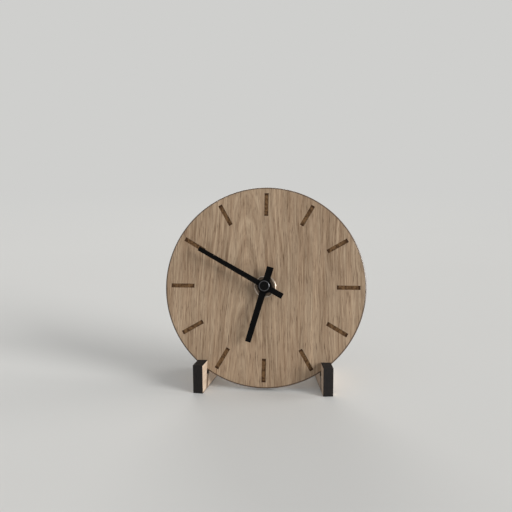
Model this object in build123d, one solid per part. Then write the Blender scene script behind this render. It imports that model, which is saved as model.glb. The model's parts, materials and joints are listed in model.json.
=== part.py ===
from build123d import *
import math
import os

# Wooden desk clock: a round board that leans back in two slotted feet, driven by a quartz movement.
# Lengths are in millimetres and angles in degrees.
# The part stands on Z = 0 and faces -Y, with its origin under the middle of the feet.
# The board and the movement are drawn upright about the middle of the board's front face, then leaned back.

# Dial board
dial_diameter = 120.0
dial_thickness = 4.0
dial_edge_chamfer = 0.5
dial_lean = 15.0
dial_ground_gap = 0.4
dial_hole_clearance = 0.2

# Burnt hour bars
hour_count = 12
hour_bar_length = 13.8
hour_bar_width = 2.45
hour_bar_depth = 0.25
hour_bar_rim_gap = 3.6

# Feet
foot_length = 50.0
foot_height = 16.9
foot_thickness = 5.8
foot_toe_out = 7.5
foot_spacing = 68.1
foot_front = 6.8
slot_clearance = 0.05
slot_floor_gap = 2.6

# Fits and play
press_clearance = 0.02
running_clearance = 0.05
axial_play = 0.4
cut_overrun = 2.0

# Centre fixing
gasket_thickness = 1.0
gasket_radius = 9.0
bushing_radius = 4.0
bushing_bore_radius = 2.55
bushing_flange_gap = 0.6
bushing_flange_thickness = 1.0
bushing_show = 1.1
washer_radius = 6.7
washer_thickness = 0.5
nut_across_flats = 11.0
nut_corner_radius = 6.1
nut_thickness = 2.0
nut_chamfer = 0.4

# Hands
hand_thickness = 0.6
hour_hand_length = 34.1
hour_hand_tail = 11.9
hour_hand_tip_width = 3.35
hour_hand_tail_width = 4.1
hour_hand_hub_radius = 4.2
hour_hand_angle = 196.0
hour_hand_gap = 0.6
hour_tube_show = 0.1
minute_hand_length = 45.3
minute_hand_tail = 12.1
minute_hand_tip_width = 2.55
minute_hand_tail_width = 3.45
minute_hand_hub_radius = 2.9
minute_hand_angle = 299.0
minute_hand_gap = 0.7
cap_nut_radius = 3.25
cap_nut_height = 2.4
cap_nut_chamfer = 0.5
cap_nut_crown = 0.6

# Minute post
post_radius = 1.7
post_neck_radius = 1.2
post_stud_length = 1.7

# Wheel train: teeth of each meshing pair, the distance of the first pair, and the gaps that set the rest
rotor_pinion_teeth = 10
fifth_wheel_teeth = 60
fifth_pinion_teeth = 10
seconds_wheel_teeth = 50
seconds_pinion_teeth = 8
third_wheel_teeth = 60
third_pinion_teeth = 8
centre_wheel_teeth = 64
cannon_pinion_teeth = 12
reverser_wheel_teeth = 36
reverser_pinion_teeth = 10
hour_wheel_teeth = 40
third_distance = 7.2
fifth_arbor_gap = 0.28
fifth_wheel_gap = 0.68
setting_arbor_gap = 0.73
fifth_direction = 90.0
third_direction = -20.0
reverser_direction = 200.0
wheel_thickness = 0.6
hour_wheel_thickness = 0.8
fifth_wheel_thickness = 0.5
pinion_overhang = 0.2
arbor_radius = 0.4
pivot_radius = 0.3
setting_arbor_radius = 0.75

# Tooth form, as shares of the module and of the tooth pitch
tooth_tip_share = 0.6
tooth_root_share = 1.0
tooth_tip_width_share = 0.1
tooth_root_width_share = 0.24

# Setting knob
knob_radius = 5.0
knob_thickness = 2.6
knob_flute_count = 20
knob_flute_radius = 0.5
knob_cap = 0.6

# Battery
battery_diameter = 14.5
battery_length = 49.2
battery_cap_radius = 2.75
battery_cap_length = 1.3
battery_edge = 0.8
battery_end_gap = 0.15
battery_wall_gap = 0.2
battery_rear_gap = 0.1
battery_bay_play = 0.7

# Contacts
contact_thickness = 0.4
contact_width = 9.0
contact_margin = 1.5
contact_leaf_reach = 2.0
contact_leaf_rise = 5.0
contact_leaf_width = 5.0
contact_tail_width = 2.0
contact_tail_rise = 4.0

# Movement case
case_wall = 1.2
train_floor_gap = 1.66
case_corner_radius = 2.0
partition_thickness = 1.0
finger_notch_radius = 7.0
cover_thickness = 1.2
cover_gap = 0.4
cover_clearance = 0.1
cover_edge_chamfer = 0.3
cover_post_size = 3.0
pillar_radius = 1.2
pillar_side_gap = 0.5
pillar_rise = 2.3
pillar_base_gap = 0.4
pivot_boss_radius = 1.4
pivot_boss_height = 1.0

# Plates that carry the wheels
plate_rim = 0.4
plate_base_gap = 0.2
middle_plate_thickness = 0.8
bridge_thickness = 1.0

# Motor
magnet_radius = 2.3
magnet_thickness = 2.0
magnet_air_gap = 0.5
stator_thickness = 1.0
stator_half_width = 12.8
stator_margin = 4.2
stator_arm_width = 3.0
stator_boss_radius = 1.2
coil_gap = 0.6
coil_top_gap = 1.8
core_height = 2.4
core_thickness = 1.0
bobbin_wall = 0.5
bobbin_flange_rim = 0.28
bobbin_flange_thickness = 0.9
bobbin_end_gap = 0.2
winding_depth = 0.9

# Circuit board
board_gap = 1.2
board_thickness = 1.0
board_end_gap = 1.0
board_post_radius = 1.5
board_post_inset = 5.0
chip_radius = 3.0
chip_height = 1.2
chip_edge = 0.6
crystal_radius = 1.05
crystal_length = 6.2

# Board and foot places
dial_radius = dial_diameter / 2
lean = math.radians(dial_lean)
toe = math.radians(foot_toe_out)
foot_reach = foot_length / 2 - foot_front
dial_line_y = -(math.cos(toe) * foot_reach + math.sin(toe) * foot_thickness / 2)
dial_centre_z = dial_ground_gap + dial_radius * math.cos(lean) + dial_thickness * math.sin(lean)
dial_centre_y = dial_line_y + dial_centre_z * math.tan(lean)
LEAN_BACK = Pos(0, dial_centre_y, dial_centre_z) * Rot(-dial_lean, 0, 0)

# Depths behind the board's front face, counted towards the back
case_front = dial_thickness + gasket_thickness
case_inside = case_front + case_wall
flange_back = case_inside + bushing_flange_thickness
hour_wheel_front = flange_back + axial_play
hour_wheel_back = hour_wheel_front + hour_wheel_thickness
cannon_front = hour_wheel_back + axial_play
reverser_front = cannon_front + pinion_overhang
reverser_back = reverser_front + wheel_thickness
cannon_back = reverser_back + pinion_overhang
middle_front = cannon_back + axial_play
middle_back = middle_front + middle_plate_thickness
centre_wheel_front = middle_back + axial_play + pinion_overhang
centre_wheel_back = centre_wheel_front + wheel_thickness
post_back = centre_wheel_back + axial_play
third_wheel_front = post_back + axial_play + pinion_overhang
third_wheel_back = third_wheel_front + wheel_thickness
seconds_wheel_front = third_wheel_back + axial_play + pinion_overhang
seconds_wheel_back = seconds_wheel_front + wheel_thickness
fifth_wheel_front = seconds_wheel_back + axial_play + pinion_overhang
fifth_wheel_back = fifth_wheel_front + fifth_wheel_thickness
bridge_front = fifth_wheel_back + axial_play + pinion_overhang
bridge_back = bridge_front + bridge_thickness
battery_back = case_inside + battery_wall_gap + battery_diameter
case_back = max(battery_back + battery_rear_gap, bridge_back + cover_gap + cover_thickness)
cover_front = case_back - cover_thickness
knob_front = case_back + axial_play
knob_back = knob_front + knob_thickness
stator_front = middle_back + (seconds_wheel_front - middle_back - stator_thickness) / 2
stator_back = stator_front + stator_thickness
magnet_front = (stator_front + stator_back - magnet_thickness) / 2
magnet_back = magnet_front + magnet_thickness
board_front = stator_back
board_back = board_front + board_thickness

# Depths in front of the board, which are negative
bushing_front = -(washer_thickness + nut_thickness + bushing_show)
hour_hand_back = bushing_front - hour_hand_gap
hour_hand_front = hour_hand_back - hand_thickness
hour_tube_front = hour_hand_front - hour_tube_show
minute_hand_back = hour_tube_front - minute_hand_gap
minute_hand_front = minute_hand_back - hand_thickness
cap_nut_front = minute_hand_front - cap_nut_height
stud_front = minute_hand_front - post_stud_length

def polar(distance, direction):
    """Place in the wheel plane at a distance and direction from the centre, as x and z."""
    angle = math.radians(direction)
    return (distance * math.cos(angle), distance * math.sin(angle))


def module_of(teeth, other_teeth, distance):
    """Size of tooth that lets two wheels mesh at a distance."""
    return 2 * distance / (teeth + other_teeth)


def tip_radius(teeth, other_teeth, distance):
    """Reach of the teeth of a wheel that meshes with another at a distance."""
    return module_of(teeth, other_teeth, distance) * (teeth / 2 + tooth_tip_share)


# Distances of the wheel axes: each arbor passes clear of the wheels beside it
centre_tip = tip_radius(centre_wheel_teeth, third_pinion_teeth, third_distance)
third_tip = tip_radius(third_wheel_teeth, seconds_pinion_teeth, third_distance)
fifth_distance = centre_tip + arbor_radius + fifth_arbor_gap
seconds_tip = tip_radius(seconds_wheel_teeth, fifth_pinion_teeth, fifth_distance)
fifth_tip = fifth_distance - arbor_radius - fifth_wheel_gap
fifth_module = fifth_tip / (fifth_wheel_teeth / 2 + tooth_tip_share)
rotor_distance = fifth_module * (fifth_wheel_teeth + rotor_pinion_teeth) / 2
reverser_distance = max(centre_tip, seconds_tip) + setting_arbor_radius + setting_arbor_gap
reverser_tip = tip_radius(reverser_wheel_teeth, cannon_pinion_teeth, reverser_distance)
centre_place = (0, 0)
fifth_place = polar(fifth_distance, fifth_direction)
rotor_place = polar(fifth_distance + rotor_distance, fifth_direction)
third_place = polar(third_distance, third_direction)
reverser_place = polar(reverser_distance, reverser_direction)

# Radii of the pieces that run in each other at the centre and at the pivots
bushing_flange_radius = reverser_distance - pivot_boss_radius - bushing_flange_gap
hour_tube_radius = bushing_bore_radius - running_clearance
hour_tube_bore_radius = post_radius + running_clearance
pivot_hole_radius = pivot_radius + running_clearance

# Motor
stator_base = rotor_place[1] - stator_margin
stator_top = rotor_place[1] + stator_margin
stator_arm_inside = stator_half_width - stator_arm_width
bobbin_half = stator_arm_inside - bobbin_end_gap
bobbin_bore_radius = math.hypot(core_height, core_thickness) / 2 + press_clearance
bobbin_radius = bobbin_bore_radius + bobbin_wall
bobbin_flange_radius = bobbin_radius + winding_depth + bobbin_flange_rim
coil_z = stator_top + coil_gap + bobbin_flange_radius
coil_y = stator_back + core_thickness / 2

# Heights of the case: the wheels stand on the partition, with the battery bay below it
train_low = max(third_tip - third_place[1], reverser_tip - reverser_place[1])
partition_top = -(train_low + train_floor_gap)
partition_base = partition_top - partition_thickness
inner_base = partition_base - battery_bay_play - battery_diameter
inner_top = coil_z + bobbin_flange_radius + coil_top_gap
case_base = inner_base - case_wall
case_top = inner_top + case_wall
battery_z = (partition_base + inner_base) / 2
battery_y = battery_back - battery_diameter / 2

# Widths of the case: the battery lies across it between its contacts
case_width = (
    battery_length + battery_cap_length + contact_leaf_reach
    + 2 * (battery_end_gap + contact_thickness + case_wall)
)
case_half_width = case_width / 2
inner_half_width = case_half_width - case_wall
battery_left = -inner_half_width + contact_thickness + contact_leaf_reach + battery_end_gap
contact_height = battery_diameter - contact_margin

# Pillars, plates and circuit board
pillar_reach = stator_half_width + pillar_side_gap + pillar_radius
pillar_base = partition_top + contact_thickness + pillar_base_gap + pillar_radius
pillar_top = rotor_place[1] + pillar_rise
pillar_places = [
    (side * pillar_reach, height) for side in (-1, 1) for height in (pillar_base, pillar_top)
]
plate_half_width = pillar_reach + pillar_radius + plate_rim
plate_base = partition_top + plate_base_gap
plate_top = pillar_top + pillar_radius + plate_rim
board_left = plate_half_width + board_gap
board_right = inner_half_width - contact_thickness - running_clearance
board_x = (board_left + board_right) / 2
board_base = partition_top + contact_thickness
board_top = inner_top - cover_post_size - board_end_gap
board_length = board_top - board_base
tail_y = (board_front + board_back) / 2


def rod(radius, front, back, place=centre_place):
    """Round bar along the depth, from front to back, at a place in the wheel plane."""
    x, z = place
    return Pos(x, (front + back) / 2, z) * Rot(90, 0, 0) * Cylinder(radius, back - front)


def block(left, right, front, back, base, top):
    """Square-edged block between six planes."""
    middle = Pos((left + right) / 2, (front + back) / 2, (base + top) / 2)
    return middle * Box(right - left, back - front, top - base)


def cut_plate(outline, front, back):
    """Plate with an outline of x and z points, from front to back."""
    loop = Wire.make_polygon([(x, front, z) for x, z in outline], close=True)
    return extrude(Face(loop), amount=back - front, dir=(0, 1, 0))


def toothed(teeth, module, front, back, place=centre_place, tooth_direction=0.0, gap=False):
    """Toothed ring with one tooth, or one gap, pointing in a direction."""
    pitch = 360.0 / teeth
    radius = module * teeth / 2
    tip = radius + tooth_tip_share * module
    root = radius - tooth_root_share * module
    first = tooth_direction + (pitch / 2 if gap else 0.0)
    corners = (
        (root, -tooth_root_width_share), (tip, -tooth_tip_width_share),
        (tip, tooth_tip_width_share), (root, tooth_root_width_share),
    )
    outline = []
    for tooth in range(teeth):
        for reach, share in corners:
            x, z = polar(reach, first + (tooth + share) * pitch)
            outline.append((place[0] + x, place[1] + z))
    return cut_plate(outline, front, back)


def leaned(shape):
    """Shape drawn about the upright board, put where the leaning board holds it."""
    return LEAN_BACK * shape


def dial_board():
    board = rod(dial_radius, 0, dial_thickness)
    front_edge = board.edges().filter_by(GeomType.CIRCLE).sort_by(Axis.Y)[0]
    board = chamfer(front_edge, dial_edge_chamfer)
    outer = dial_radius - hour_bar_rim_gap
    bar = block(
        -hour_bar_width / 2, hour_bar_width / 2, -cut_overrun, hour_bar_depth,
        outer - hour_bar_length, outer,
    )
    bars = [Rot(0, hour * 360.0 / hour_count, 0) * bar for hour in range(hour_count)]
    hole = rod(bushing_radius + dial_hole_clearance, -cut_overrun, dial_thickness + cut_overrun)
    return board - bars - hole


def foot(side):
    """Slotted foot on one side: -1 is the left one, 1 the right one."""
    inner_x = foot_spacing / 2
    x = side * (inner_x + math.cos(toe) * foot_thickness / 2 - math.sin(toe) * foot_reach)
    plate = Box(foot_thickness, foot_length, foot_height)
    plate = Pos(x, 0, foot_height / 2) * Rot(0, 0, side * foot_toe_out) * plate
    floor = -math.sqrt(dial_radius**2 - inner_x**2) - slot_floor_gap
    slot = block(
        side * inner_x - foot_length, side * inner_x + foot_length,
        -slot_clearance, dial_thickness + slot_clearance, floor, floor + foot_height,
    )
    return plate - leaned(slot)


def gasket():
    return rod(gasket_radius, dial_thickness, case_front) - bushing_hole()


def bushing_hole():
    return rod(bushing_radius + press_clearance, hour_tube_front, flange_back + cut_overrun)


def threaded_bushing():
    body = rod(bushing_radius, bushing_front, case_inside)
    flange = rod(bushing_flange_radius, case_inside, flange_back)
    return body + flange - rod(bushing_bore_radius, hour_tube_front, flange_back + cut_overrun)


def washer():
    return rod(washer_radius, -washer_thickness, 0) - bushing_hole()


def fixing_nut():
    front = -(washer_thickness + nut_thickness)
    hexagon = [polar(nut_across_flats / math.sqrt(3), 60.0 * corner) for corner in range(6)]
    turned = rod(nut_corner_radius, front, -washer_thickness)
    turned = chamfer(turned.edges().filter_by(GeomType.CIRCLE).sort_by(Axis.Y)[0], nut_chamfer)
    return (cut_plate(hexagon, front, -washer_thickness) & turned) - bushing_hole()


def hand(outline, hub_radius, bore_radius, front, back, angle):
    """Flat hand with a round hub, turned clockwise from twelve."""
    bore = rod(bore_radius, front - cut_overrun, back + cut_overrun)
    return Rot(0, angle, 0) * (cut_plate(outline, front, back) + rod(hub_radius, front, back) - bore)


def hand_outline(length, tail, tip_width, tail_width):
    """Straight bar with square ends that narrows a little from its tail to its tip."""
    tail_half = tail_width / 2
    tip_half = tip_width / 2
    return [(-tail_half, -tail), (tail_half, -tail), (tip_half, length), (-tip_half, length)]


def hour_hand():
    bore = hour_tube_radius + press_clearance
    widths = (hour_hand_tip_width, hour_hand_tail_width)
    outline = hand_outline(hour_hand_length, hour_hand_tail, *widths)
    return hand(outline, hour_hand_hub_radius, bore, hour_hand_front, hour_hand_back, hour_hand_angle)


def minute_hand():
    bore = post_neck_radius + press_clearance
    widths = (minute_hand_tip_width, minute_hand_tail_width)
    outline = hand_outline(minute_hand_length, minute_hand_tail, *widths)
    return hand(outline, minute_hand_hub_radius, bore, minute_hand_front, minute_hand_back, minute_hand_angle)


def cap_nut():
    nut = rod(cap_nut_radius, cap_nut_front, minute_hand_front)
    nut = chamfer(nut.edges().filter_by(GeomType.CIRCLE).sort_by(Axis.Y)[0], cap_nut_chamfer)
    bore = rod(post_neck_radius + press_clearance, cap_nut_front + cap_nut_crown, minute_hand_front)
    return nut - bore


def hour_wheel():
    module = module_of(hour_wheel_teeth, reverser_pinion_teeth, reverser_distance)
    wheel = toothed(
        hour_wheel_teeth, module, hour_wheel_front, hour_wheel_back,
        tooth_direction=reverser_direction, gap=True,
    )
    tube = rod(hour_tube_radius, hour_tube_front, hour_wheel_back)
    return wheel + tube - rod(hour_tube_bore_radius, minute_hand_back, cannon_front)


def minute_post():
    """Post through the middle, with the cannon pinion on it and a pivot hole in its back end."""
    module = module_of(cannon_pinion_teeth, reverser_wheel_teeth, reverser_distance)
    cannon = toothed(
        cannon_pinion_teeth, module, cannon_front, cannon_back, tooth_direction=reverser_direction,
    )
    stud = rod(post_neck_radius, stud_front, minute_hand_back)
    post = rod(post_radius, minute_hand_back, middle_back)
    neck = rod(post_neck_radius, middle_back, post_back)
    pivot_hole = rod(pivot_hole_radius, centre_wheel_front, post_back + cut_overrun)
    return stud + post + neck + cannon - pivot_hole


def centre_wheel():
    module = module_of(centre_wheel_teeth, third_pinion_teeth, third_distance)
    wheel = toothed(
        centre_wheel_teeth, module, centre_wheel_front, centre_wheel_back,
        tooth_direction=third_direction, gap=True,
    )
    hub = rod(post_radius, centre_wheel_front - pinion_overhang, centre_wheel_back + pinion_overhang)
    bore = rod(post_neck_radius + running_clearance, middle_back, post_back)
    return wheel + hub - bore


def third_wheel():
    pinion_module = module_of(third_pinion_teeth, centre_wheel_teeth, third_distance)
    wheel_module = module_of(third_wheel_teeth, seconds_pinion_teeth, third_distance)
    facing = third_direction + 180.0
    pinion = toothed(
        third_pinion_teeth, pinion_module, centre_wheel_front - pinion_overhang,
        centre_wheel_back + pinion_overhang, third_place, facing,
    )
    wheel = toothed(
        third_wheel_teeth, wheel_module, third_wheel_front, third_wheel_back, third_place, facing, gap=True,
    )
    arbor = rod(arbor_radius, centre_wheel_front, bridge_front - axial_play, third_place)
    return pinion + wheel + arbor + pivots(third_place)


def pivots(place):
    """Thin ends of an arbor that run in the middle plate and in the bridge."""
    return rod(pivot_radius, middle_front, bridge_back, place)


def seconds_wheel():
    pinion_module = module_of(seconds_pinion_teeth, third_wheel_teeth, third_distance)
    wheel_module = module_of(seconds_wheel_teeth, fifth_pinion_teeth, fifth_distance)
    pinion = toothed(
        seconds_pinion_teeth, pinion_module, third_wheel_front - pinion_overhang,
        third_wheel_back + pinion_overhang, tooth_direction=third_direction,
    )
    wheel = toothed(
        seconds_wheel_teeth, wheel_module, seconds_wheel_front, seconds_wheel_back,
        tooth_direction=fifth_direction, gap=True,
    )
    arbor = rod(arbor_radius, third_wheel_front, bridge_front - axial_play)
    return pinion + wheel + arbor + rod(pivot_radius, centre_wheel_back, bridge_back)


def fifth_wheel():
    pinion_module = module_of(fifth_pinion_teeth, seconds_wheel_teeth, fifth_distance)
    wheel_module = module_of(fifth_wheel_teeth, rotor_pinion_teeth, rotor_distance)
    pinion = toothed(
        fifth_pinion_teeth, pinion_module, seconds_wheel_front - pinion_overhang,
        seconds_wheel_back + pinion_overhang, fifth_place, fifth_direction + 180.0,
    )
    wheel = toothed(
        fifth_wheel_teeth, wheel_module, fifth_wheel_front, fifth_wheel_back,
        fifth_place, fifth_direction, gap=True,
    )
    arbor = rod(arbor_radius, middle_back + axial_play, bridge_front - axial_play, fifth_place)
    return pinion + wheel + arbor + pivots(fifth_place)


def rotor_pinion():
    module = module_of(rotor_pinion_teeth, fifth_wheel_teeth, rotor_distance)
    pinion = toothed(
        rotor_pinion_teeth, module, fifth_wheel_front - pinion_overhang,
        fifth_wheel_back + pinion_overhang, rotor_place, fifth_direction + 180.0,
    )
    arbor = rod(arbor_radius, middle_back + axial_play, fifth_wheel_back, rotor_place)
    return pinion + arbor + pivots(rotor_place)


def rotor_magnet():
    bore = rod(arbor_radius + press_clearance, middle_back, bridge_front, rotor_place)
    return rod(magnet_radius, magnet_front, magnet_back, rotor_place) - bore


def reverser_wheel():
    """Wheel that turns the hour wheel, on the arbor that the setting knob turns from behind."""
    wheel_module = module_of(reverser_wheel_teeth, cannon_pinion_teeth, reverser_distance)
    pinion_module = module_of(reverser_pinion_teeth, hour_wheel_teeth, reverser_distance)
    facing = reverser_direction + 180.0
    wheel = toothed(
        reverser_wheel_teeth, wheel_module, reverser_front, reverser_back, reverser_place, facing, gap=True,
    )
    pinion = toothed(
        reverser_pinion_teeth, pinion_module, hour_wheel_front, reverser_front, reverser_place, facing,
    )
    pivot = rod(pivot_radius, case_inside + running_clearance, hour_wheel_front, reverser_place)
    arbor = rod(setting_arbor_radius, reverser_front, knob_back - knob_cap, reverser_place)
    return wheel + pinion + pivot + arbor


def setting_knob():
    knob = rod(knob_radius, knob_front, knob_back, reverser_place)
    flutes = []
    for flute in range(knob_flute_count):
        x, z = polar(knob_radius, flute * 360.0 / knob_flute_count)
        place = (reverser_place[0] + x, reverser_place[1] + z)
        flutes.append(rod(knob_flute_radius, knob_front - cut_overrun, knob_back + cut_overrun, place))
    bore = rod(setting_arbor_radius + press_clearance, cover_front, knob_back - knob_cap, reverser_place)
    return knob - flutes - bore


def movement_case():
    """Tray with a wheel chamber above and an open battery bay below."""
    shell = block(-case_half_width, case_half_width, case_front, case_back, case_base, case_top)
    shell = fillet(shell.edges().filter_by(Axis.Y), case_corner_radius)
    end = case_back + cut_overrun
    chamber = block(-inner_half_width, inner_half_width, case_inside, end, partition_top, inner_top)
    bay = block(-inner_half_width, inner_half_width, case_inside, end, inner_base, partition_base)
    seat = block(-inner_half_width, inner_half_width, cover_front, end, inner_base, inner_top)
    notch = Pos(0, case_back, case_base) * Cylinder(finger_notch_radius, 2 * (case_wall + cut_overrun))
    case = shell - chamber - bay - seat - notch - bushing_hole()
    for place in pillar_places:
        case += rod(pillar_radius, case_inside, middle_front, place)
    for side in (-1, 1):
        edge = side * inner_half_width
        corner = edge - side * cover_post_size
        low_x, high_x = min(edge, corner), max(edge, corner)
        case += block(low_x, high_x, case_inside, cover_front, inner_top - cover_post_size, inner_top)
        gap = edge - side * (contact_thickness + running_clearance)
        half = contact_tail_width / 2 + running_clearance
        low_x, high_x = min(edge, gap), max(edge, gap)
        case -= block(low_x, high_x, tail_y - half, tail_y + half, partition_base, partition_top)
    for z in board_post_heights():
        case += rod(board_post_radius, case_inside, board_front, (board_x, z))
    boss_back = case_inside + pivot_boss_height
    case += rod(pivot_boss_radius, case_inside, boss_back, reverser_place)
    return case - rod(pivot_hole_radius, case_inside, boss_back + cut_overrun, reverser_place)


def board_post_heights():
    return (board_base + board_post_inset, board_top - board_post_inset)


def back_cover():
    edge = inner_half_width - cover_clearance
    plate = block(-edge, edge, cover_front, case_back, partition_base, inner_top - cover_clearance)
    rear_edges = plate.faces().sort_by(Axis.Y)[-1].edges()
    plate = chamfer(rear_edges, cover_edge_chamfer)
    hole = setting_arbor_radius + axial_play
    return plate - rod(hole, cover_front - cut_overrun, case_back + cut_overrun, reverser_place)


def carrier_plate(front, back):
    """Plate with the holes that the train's pivots and the setting arbor run in."""
    plate = block(-plate_half_width, plate_half_width, front, back, plate_base, plate_top)
    for place in (fifth_place, rotor_place, third_place):
        plate -= rod(pivot_hole_radius, front - cut_overrun, back + cut_overrun, place)
    hole = setting_arbor_radius + running_clearance
    return plate - rod(hole, front - cut_overrun, back + cut_overrun, reverser_place)


def middle_plate():
    plate = carrier_plate(middle_front, middle_back)
    for side in (-1, 1):
        x = side * (stator_half_width - stator_arm_width / 2)
        plate += rod(stator_boss_radius, middle_back, stator_front, (x, rotor_place[1]))
    return plate - rod(hour_tube_bore_radius, middle_front - cut_overrun, middle_back + cut_overrun)


def rear_bridge():
    bridge = carrier_plate(bridge_front, bridge_back)
    for place in pillar_places:
        bridge += rod(pillar_radius, middle_back, bridge_front, place)
    return bridge - rod(pivot_hole_radius, bridge_front - cut_overrun, bridge_back + cut_overrun)


def stator():
    plate = block(
        -stator_half_width, stator_half_width, stator_front, stator_back, stator_base, stator_top,
    )
    arm_top = coil_z + core_height / 2
    for side in (-1, 1):
        inside, outside = side * stator_arm_inside, side * stator_half_width
        low_x, high_x = min(inside, outside), max(inside, outside)
        plate += block(low_x, high_x, stator_front, stator_back, stator_base, arm_top)
    hole = rod(magnet_radius + magnet_air_gap, magnet_front, magnet_back, rotor_place)
    return plate - hole


def coil_core():
    half = core_height / 2
    return block(
        -stator_half_width, stator_half_width, stator_back, stator_back + core_thickness,
        coil_z - half, coil_z + half,
    )


def along_coil(radius, left, right):
    """Round bar along the coil."""
    return Pos((left + right) / 2, coil_y, coil_z) * Rot(0, 90, 0) * Cylinder(radius, right - left)


def coil_bobbin():
    inside = bobbin_half - bobbin_flange_thickness
    bobbin = along_coil(bobbin_radius, -bobbin_half, bobbin_half)
    for left, right in ((-bobbin_half, -inside), (inside, bobbin_half)):
        bobbin += along_coil(bobbin_flange_radius, left, right)
    return bobbin - along_coil(bobbin_bore_radius, -stator_half_width, stator_half_width)


def coil_winding():
    inside = bobbin_half - bobbin_flange_thickness
    outer = along_coil(bobbin_radius + winding_depth, -inside, inside)
    return outer - along_coil(bobbin_radius + press_clearance, -stator_half_width, stator_half_width)


def circuit_board():
    return block(board_left, board_right, board_front, board_back, board_base, board_top)


def chip():
    dome = rod(chip_radius, board_back, board_back + chip_height, (board_x, board_base + board_length / 3))
    return fillet(dome.edges().filter_by(GeomType.CIRCLE).sort_by(Axis.Y)[-1], chip_edge)


def quartz_crystal():
    middle = board_base + 2 * board_length / 3
    return Pos(board_x, board_back + crystal_radius, middle) * Cylinder(crystal_radius, crystal_length)


def contact_plate(side):
    """Contact against one end wall of the bay, with a tail up through the partition."""
    edge = side * inner_half_width
    inside = edge - side * contact_thickness
    low_x, high_x = min(edge, inside), max(edge, inside)
    half_width, half_height = contact_width / 2, contact_height / 2
    plate = block(
        low_x, high_x, battery_y - half_width, battery_y + half_width,
        battery_z - half_height, battery_z + half_height,
    )
    half = contact_tail_width / 2
    tail = block(low_x, high_x, tail_y - half, tail_y + half, battery_z, partition_top + contact_tail_rise)
    return plate + tail


def positive_contact():
    return contact_plate(1)


def negative_contact():
    """Contact with a sprung leaf for the flat end of the battery, and a strip to the circuit board."""
    plate = contact_plate(-1)
    base = -inner_half_width + contact_thickness
    tip = base + contact_leaf_reach
    leaf_outline = [
        (base, battery_z - contact_leaf_rise), (tip, battery_z), (base, battery_z + contact_leaf_rise),
        (base, battery_z + contact_leaf_rise - contact_thickness), (tip - contact_thickness, battery_z),
        (base, battery_z - contact_leaf_rise + contact_thickness),
    ]
    half = contact_leaf_width / 2
    leaf = cut_plate(leaf_outline, battery_y - half, battery_y + half)
    strip_half = contact_tail_width / 2
    strip = block(
        -inner_half_width, board_x, tail_y - strip_half, tail_y + strip_half, partition_top, board_base,
    )
    return plate + leaf + strip


def along_battery(radius, left, right):
    """Round bar along the battery."""
    return Pos((left + right) / 2, battery_y, battery_z) * Rot(0, 90, 0) * Cylinder(radius, right - left)


def battery_cell():
    cell = along_battery(battery_diameter / 2, battery_left, battery_left + battery_length)
    return fillet(cell.edges().filter_by(GeomType.CIRCLE), battery_edge)


def battery_cap():
    end = battery_left + battery_length
    return along_battery(battery_cap_radius, end, end + battery_cap_length)


upright_pieces = {
    "dial_board": dial_board(),
    "rubber_gasket": gasket(),
    "threaded_bushing": threaded_bushing(),
    "washer": washer(),
    "fixing_nut": fixing_nut(),
    "hour_hand": hour_hand(),
    "minute_hand": minute_hand(),
    "cap_nut": cap_nut(),
    "hour_wheel": hour_wheel(),
    "minute_post": minute_post(),
    "centre_wheel": centre_wheel(),
    "third_wheel": third_wheel(),
    "seconds_wheel": seconds_wheel(),
    "fifth_wheel": fifth_wheel(),
    "rotor_pinion": rotor_pinion(),
    "rotor_magnet": rotor_magnet(),
    "reverser_wheel": reverser_wheel(),
    "setting_knob": setting_knob(),
    "movement_case": movement_case(),
    "back_cover": back_cover(),
    "middle_plate": middle_plate(),
    "rear_bridge": rear_bridge(),
    "stator": stator(),
    "coil_core": coil_core(),
    "coil_bobbin": coil_bobbin(),
    "coil_winding": coil_winding(),
    "circuit_board": circuit_board(),
    "chip": chip(),
    "quartz_crystal": quartz_crystal(),
    "positive_contact": positive_contact(),
    "negative_contact": negative_contact(),
    "battery_cell": battery_cell(),
    "battery_cap": battery_cap(),
}
pieces = {name: leaned(shape) for name, shape in upright_pieces.items()}
pieces["left_foot"] = foot(-1)
pieces["right_foot"] = foot(1)

os.makedirs("parts", exist_ok=True)
for name, shape in pieces.items():
    export_step(shape, f"parts/{name}.step")
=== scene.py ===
import json
import math

import bmesh
import bpy
from bpy.props import FloatProperty, FloatVectorProperty, IntProperty, PointerProperty
from mathutils import Euler, Matrix, Vector


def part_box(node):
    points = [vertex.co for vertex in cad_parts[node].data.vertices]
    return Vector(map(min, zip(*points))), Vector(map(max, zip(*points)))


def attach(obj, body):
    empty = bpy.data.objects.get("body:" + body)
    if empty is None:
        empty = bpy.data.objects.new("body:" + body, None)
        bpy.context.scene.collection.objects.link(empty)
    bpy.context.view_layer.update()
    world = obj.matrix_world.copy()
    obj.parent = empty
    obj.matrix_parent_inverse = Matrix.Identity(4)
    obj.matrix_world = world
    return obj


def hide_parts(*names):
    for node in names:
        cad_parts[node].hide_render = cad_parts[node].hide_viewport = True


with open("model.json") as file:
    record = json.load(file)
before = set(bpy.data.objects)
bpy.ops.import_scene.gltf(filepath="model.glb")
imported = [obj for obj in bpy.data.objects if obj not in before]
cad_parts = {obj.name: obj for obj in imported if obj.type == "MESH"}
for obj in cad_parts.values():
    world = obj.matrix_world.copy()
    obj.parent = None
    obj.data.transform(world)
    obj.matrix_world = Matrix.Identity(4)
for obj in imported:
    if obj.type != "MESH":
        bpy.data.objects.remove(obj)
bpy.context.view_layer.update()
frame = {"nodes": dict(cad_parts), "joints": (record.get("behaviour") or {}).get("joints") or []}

bl_info = {
    "name": "Wooden Desk Clock",
    "version": (1, 0, 0),
    "blender": (4, 5, 0),
    "location": "View3D > Sidebar > Desk Clock",
    "description": "Dresses the leaning desk clock: oak dial, charred feet, hands, fixing and movement",
    "category": "Object",
}

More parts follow.
